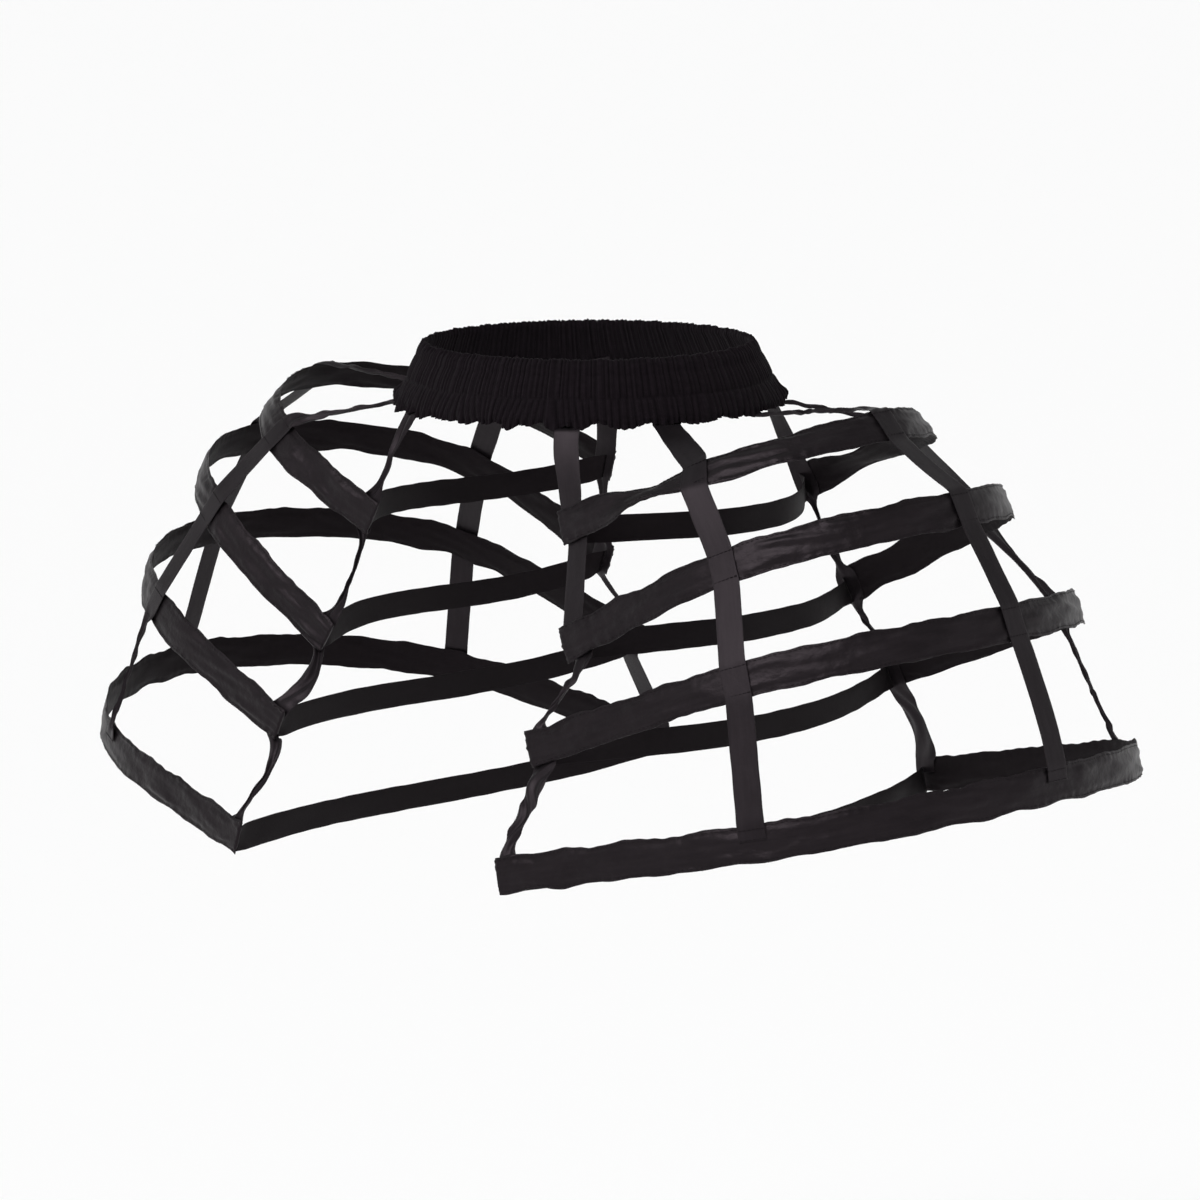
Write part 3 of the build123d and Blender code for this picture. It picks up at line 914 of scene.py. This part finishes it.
# %% [markdown]
# The elastic itself stays as the frame has it: a plain band inside the
# cotton tube. It only needs its finish.

# %% Elastic
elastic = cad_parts["waist_elastic"]
if not elastic.data.materials:
    elastic.data.materials.append(elastic_web)
for held_slot in elastic.material_slots:
    held_slot.material = elastic_web
print("elastic finished with", elastic_web.name)

# %% [markdown]
# ## Ribbons
# Five satin ribbons hang each wing's hoops below one another. The three outer
# ones lie over the sleeves; the two corner ones are sewn behind the sleeves'
# ends. A taut ribbon is straight from seam to seam, but where a hoop rides
# higher than its ribbon allows, the slack ribbon folds up lengthwise like a
# fan, and is then hardly wider than a string.

# %% Ribbon routes
WAIST_TUCK, LAST_TUCK = 14 * MM, 11 * MM
FRONT_CORNER_INSET, BACK_CORNER_INSET = 11 * MM, 7 * MM
WAIST_CORNER_X, WAIST_SIDE_X = 70 * MM, 120 * MM
SKIN = SEWN_GAP + RIBBON_THICKNESS / 2

def waist_seat(waist_x, y_sign, height, depth):
    """Middle and across direction of a ribbon laid along the band.

    The ribbon is flat and the band round, so its middle stands off by the rise
    of the arc that its width spans.
    """
    flare = BAND_FLARE * (0.5 - height / BAND_HEIGHT)
    a, b = WAIST_HALF_WIDTH + flare, WAIST_HALF_DEPTH + flare
    x = min(waist_x, a)
    y = y_sign * b * np.sqrt(max(1 - (x / a) ** 2, 0))
    outward = unit(np.array([x / a ** 2, y / b ** 2, 0]))
    radius = (a * b) ** 2 * (x ** 2 / a ** 4 + y ** 2 / b ** 4) ** 1.5
    rise = RIBBON_WIDTH ** 2 / (8 * radius)
    return np.array([x, y, height]) + outward * (depth - rise), np.cross(outward, UP)

def ribbon_route(wing, shares, waist_x, y_sign, face):
    """Places of a ribbon's middle line with its across direction, from the waist down.

    It is tucked up inside the band, passes under its edge, and then lies on each
    sleeve from upper to lower edge, over it (face 1) or behind it (face -1).
    """
    side = 1 if wing == "left" else -1
    under = -BAND_HEIGHT / 2 - SKIN
    route = []
    for height, depth in ((WAIST_TUCK - BAND_HEIGHT / 2, -SKIN), (under, -SKIN),
                          (under, BAND_WALL)):
        place, across = waist_seat(waist_x, y_sign, height, depth)
        route.append((tilted(place * [side, 1, 1]), tilted(across * [-side, -1, 1])))
    for number, share in zip((1, 2, 3, 4), shares):
        hoop = hoops[wing, number]
        seat = face * (CASING_THICKNESS / 2 + SKIN)
        half = RIBBON_WIDTH / 2 / hoop.length
        place, upward, outward, _ = hoop_station(hoop, np.array([share - half, share,
                                                                 share + half]),
                                                 np.full(3, seat))
        rise = (place[1] - (place[0] + place[2]) / 2) @ outward[1]
        rise = face * max(face * rise, 0)
        low = CASING_WIDTH / 2 - LAST_TUCK if number == 4 else -CASING_WIDTH / 2
        for reach in (CASING_WIDTH / 2, low):
            first, second = place[[0, 2]] + upward[[0, 2]] * reach + outward[[0, 2]] * rise
            route.append(((first + second) / 2, unit(second - first)))
    return route

def wing_routes(wing):
    """The five routes of a wing, by name."""
    mine = [hoops[wing, number] for number in (1, 2, 3, 4)]
    corner = [FRONT_CORNER_INSET / hoop.length for hoop in mine]
    back_corner = [1 - BACK_CORNER_INSET / hoop.length for hoop in mine]
    crossing = [[hoop.crossings[k] for hoop in mine] for k in range(3)]
    reach = WAIST_HALF_WIDTH + BAND_FLARE
    return {"front_corner": ribbon_route(wing, corner, WAIST_CORNER_X, -1, -1),
            "front": ribbon_route(wing, crossing[0], WAIST_SIDE_X, -1, 1),
            "side": ribbon_route(wing, crossing[1], reach, 1, 1),
            "back": ribbon_route(wing, crossing[2], WAIST_SIDE_X, 1, 1),
            "back_corner": ribbon_route(wing, back_corner, WAIST_CORNER_X, 1, -1)}

routes = {(wing, name): route for wing in ("left", "right")
          for name, route in wing_routes(wing).items()}
print(len(routes), "ribbon routes of", len(routes["left", "front"]), "places each")

# %% Folded ribbons
# Stretches that are folded or hang aside, by the hoop below them. First come the
# folded ribbon's widths at five places from top to bottom, in percent of its
# full width, and then how many millimetres it hangs aside at those places, from
# the front corner towards the back one.
TAUT = ([100] * 5, [0] * 5)
SLACK = {
    ("left", "front_corner"): {
        1: ([100] * 5, [-2, -3, -2, -1, 0]),
        3: ([100, 62, 30, 20, 28], [5, 6, 4, 1, 0]),
        4: ([95, 80, 68, 58, 50], [-2, -3, -2, -5, -5])},
    ("left", "side"): {
        1: ([16, 16, 18, 32, 100], [0] * 5),
        2: ([100] * 5, [-1, -2, -3, -2, -1]),
        4: ([100] * 5, [1, 2, 3, 3, 1])},
    ("left", "back"): {
        1: ([14, 14, 15, 22, 90], [0] * 5),
        3: ([90, 65, 50, 50, 60], [0] * 5),
        4: ([40, 20, 16, 16, 30], [0, 1, 2, 2, 0])},
    ("left", "back_corner"): {
        2: ([30, 20, 22, 30, 45], [0, 1, 2, 1, 0]),
        3: ([50, 30, 20, 22, 40], [0, 2, 0, -2, 0]),
        4: ([100, 85, 80, 90, 100], [-2, -5, -7, -8, -4])},
    ("right", "front_corner"): {
        1: ([80, 62, 45, 38, 50], [0, 1, 0, -3, -4]),
        2: ([30, 20, 20, 25, 55], [-8, -9, -8, -9, -6]),
        3: ([35, 45, 70, 85, 95], [-8, -10, -12, -11, -9]),
        4: ([75, 50, 20, 20, 22], [-10, -13, -14, -7, -4])},
    ("right", "front"): {
        1: ([25, 28, 34, 50, 95], [0] * 5),
        4: ([60, 25, 16, 16, 25], [0] * 5)},
    ("right", "side"): {
        1: ([16, 20, 28, 44, 95], [0] * 5)},
    ("right", "back_corner"): {
        2: ([60, 40, 30, 40, 60], [0, 2, 0, -2, 0]),
        3: ([70, 50, 40, 50, 70], [0, -2, 0, 2, 0])},
}
FIVE_PLACES = [0, 0.25, 0.5, 0.75, 1]
print("slack stretches", sum(map(len, SLACK.values())))

# %% Ribbons
RIBBON_STEP, RIBBON_AROUND, SHOWN_THICKNESS = 1.5 * MM, 36, 0.5 * MM
# Over how many rows a ribbon's middle, direction, width and stray are softened.
MIDDLE_BLUR, WAY_BLUR, WIDTH_BLUR, STRAY_BLUR = 1.3, 1.6, 2.2, 4.0
# How high a slack ribbon's folds and creases stand, and any ribbon's bow.
FOLD_HEIGHT, CRUMPLE, BOW = 1.25 * MM, 0.5 * MM, 0.16 * MM

def ribbon_grid(wing, name, route, section):
    """A ribbon's rows and columns with its run along the cloth.

    The route is walked in even steps and softened at its bends. Where it is
    slack, its width shrinks and its cloth folds to and fro across it.
    """
    stops = np.array([place for place, _ in route])
    ways = np.array([way for _, way in route])
    knots = walked(stops)
    run = np.linspace(0, knots[-1], int(knots[-1] / RIBBON_STEP) + 1)
    middle = blurred(placed(run, knots, stops), MIDDLE_BLUR)
    way = unit(blurred(placed(run, knots, ways), WAY_BLUR))
    down = unit(np.gradient(middle, axis=0))
    way = unit(way - down * (way * down).sum(-1, keepdims=True))
    facing = np.cross(way, down)
    width, stray = np.ones(len(run)), np.zeros(len(run))
    for number in (1, 2, 3, 4):
        widths, asides = SLACK.get((wing, name), {}).get(number, TAUT)
        top, bottom = knots[2 * number], knots[2 * number + 1]
        part = (run - top) / (bottom - top)
        inside = (part > 0) & (part < 1)
        width[inside] = np.interp(part[inside], FIVE_PLACES, np.array(widths) / 100)
        stray[inside] = np.interp(part[inside], FIVE_PLACES, asides) * MM
    width = blurred(width[:, None], WIDTH_BLUR)
    stray = blurred(stray[:, None], STRAY_BLUR)
    across, thick = section
    seed = sum(map(ord, wing + name))
    level = across / (RIBBON_WIDTH / 2)
    turns = 1.4 * (level[None] + 1) / 2 + 0.35 * drift(seed, run, 0.05)[:, None]
    folds = np.sin(2 * np.pi * turns) * FOLD_HEIGHT * np.sqrt(np.clip(1 - width ** 2, 0, 1))
    crumple = ripple(seed + 1, run[:, None], across[None], 0.018, 0.02) * CRUMPLE * (1 - width)
    bow = ripple(seed + 2, run[:, None], across[None], 0.11, 0.05) * BOW
    edge = 1 + 0.012 * drift(seed + 3, run[:, None], 0.03)
    grid = carried(middle + way * stray, way, facing, across[None] * width * edge,
                   thick[None] + folds + crumple + bow)
    return grid, run

ribbon_section = strip_section(RIBBON_WIDTH, SHOWN_THICKNESS, RIBBON_AROUND)
for (wing, name), route in routes.items():
    grid, run = ribbon_grid(wing, name, route, ribbon_section)
    piece = closed_cloth(f"{wing}_{name}_ribbon", grid, [ribbon_satin], run, 2 * RIBBON_WIDTH)
    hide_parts(f"{wing}_ribbon_{name}")

# %% [markdown]
# ## Stitching
# Both edges of every sleeve are top-stitched, and each outer ribbon is sewn
# down by a row of stitches near the sleeve's upper and lower edge. A stitch is
# a little domed capsule of thread, longer than it is wide. One small capsule
# is worked out once and set down at every stitch by whole-array arithmetic.

# %% Stitches
STITCH_LENGTH, STITCH_PITCH, THREAD_HALF = 2.4 * MM, 3.3 * MM, 0.22 * MM
STITCH_MAP = 3 * MM                    # length of a stitch on its weave map
EDGE_ROW, ROW_END, STITCH_LIFT = 0.86, 4 * MM, 0.05 * MM     # rows along a sleeve's edges
SEAM_PITCH, SEAM_INSET, LAST_INSET, SEAM_LIFT = 2.9 * MM, 3 * MM, 1.5 * MM, 0.35 * MM

def capsule():
    """A stitch of four rings of four points, lengthwise along x, with its end faces."""
    along = np.array([-0.5, -0.36, 0.36, 0.5])
    girth_of = np.array([0.25, 1.0, 1.0, 0.25])
    turn = np.arange(4) * np.pi / 2 + np.pi / 4
    x = np.repeat(along, 4) * STITCH_LENGTH
    y = (girth_of[:, None] * np.cos(turn)).ravel() * THREAD_HALF * 1.3
    z = (girth_of[:, None] * np.sin(turn)).ravel() * THREAD_HALF
    near = np.arange(12).reshape(3, 4)
    beside = np.roll(near, -1, axis=1)
    walls = np.stack([near, near + 4, beside + 4, beside], -1).reshape(-1, 4)
    return np.stack([x, y, z], -1), np.concatenate([walls, [[0, 1, 2, 3], [15, 14, 13, 12]]])

def stitched(name, centres, along, outward):
    """One mesh of capsules, each turned along its row and standing on its cloth."""
    shape, faces = capsule()
    along, outward = unit(along), unit(outward)
    sideways = unit(np.cross(outward, along))
    outward = np.cross(along, sideways)
    points = (centres[:, None] + shape[None, :, :1] * along[:, None]
              + shape[None, :, 1:2] * sideways[:, None] + shape[None, :, 2:] * outward[:, None])
    quads = (faces[None] + len(shape) * np.arange(len(centres))[:, None, None]).reshape(-1, 4)
    flat = shape[:, :2] / STITCH_LENGTH * STITCH_MAP
    uvs = np.broadcast_to(flat[faces][None], (len(centres), *flat[faces].shape)).reshape(-1, 4, 2)
    piece = cloth_mesh(name, points.reshape(-1, 3), quads, uvs, np.zeros(len(quads), int),
                       [sewing_thread])
    return piece

stitch_count = 0
for (wing, number), hoop in hoops.items():
    share = np.arange(ROW_END, hoop.length - ROW_END, STITCH_PITCH) / hoop.length
    rows = []
    for across in (EDGE_ROW, -EDGE_ROW):
        centre = sleeve_point(hoop, share, across, 1, STITCH_LIFT)
        ahead = sleeve_point(hoop, share + 0.8 * MM / hoop.length, across, 1, STITCH_LIFT)
        rows.append((centre, ahead - centre, hoop_station(hoop, share)[2]))
    centres, along, outward = (np.concatenate(parts) for parts in zip(*rows))
    stitched(f"{wing}_hoop{number}_stitching", centres, along, outward)
    stitch_count += len(centres)
print(stitch_count, "stitches along the sleeves")

# %% Seams of the outer ribbons
def seam_rows(route):
    """Stitches across an outer ribbon, just inside the upper and lower edge of each sleeve."""
    rows = []
    for number in (1, 2, 3, 4):
        (top, way), (bottom, _) = route[2 * number + 1], route[2 * number + 2]
        drop = unit(bottom - top)
        outward = np.cross(way, drop)
        outward = outward * np.sign(outward @ (top * [1, 1, 0]))
        low = np.linalg.norm(bottom - top) - (LAST_INSET if number == 4 else SEAM_INSET)
        offset = (np.arange(-3, 3) + 0.5) * SEAM_PITCH
        for down in (SEAM_INSET, low):
            centre = top + drop * down + way * offset[:, None] + outward * SEAM_LIFT
            rows.append((centre, np.broadcast_to(way, centre.shape),
                         np.broadcast_to(outward, centre.shape)))
    return rows

for wing in ("left", "right"):
    rows = [row for name in ("front", "side", "back") for row in seam_rows(routes[wing, name])]
    centres, along, outward = (np.concatenate(parts) for parts in zip(*rows))
    stitched(f"{wing}_ribbon_seams", centres, along, outward)
print("ribbon seams sewn")

# %% [markdown]
# ## What the cloths were cut to
# Every cloth piece is declared with its flat size: a sleeve and the waistband as folded in two, a
# strap and a ribbon as cut from the roll.

# %% Flat sizes
for (wing, number), hoop in hoops.items():
    strap, length = straps[wing, number]
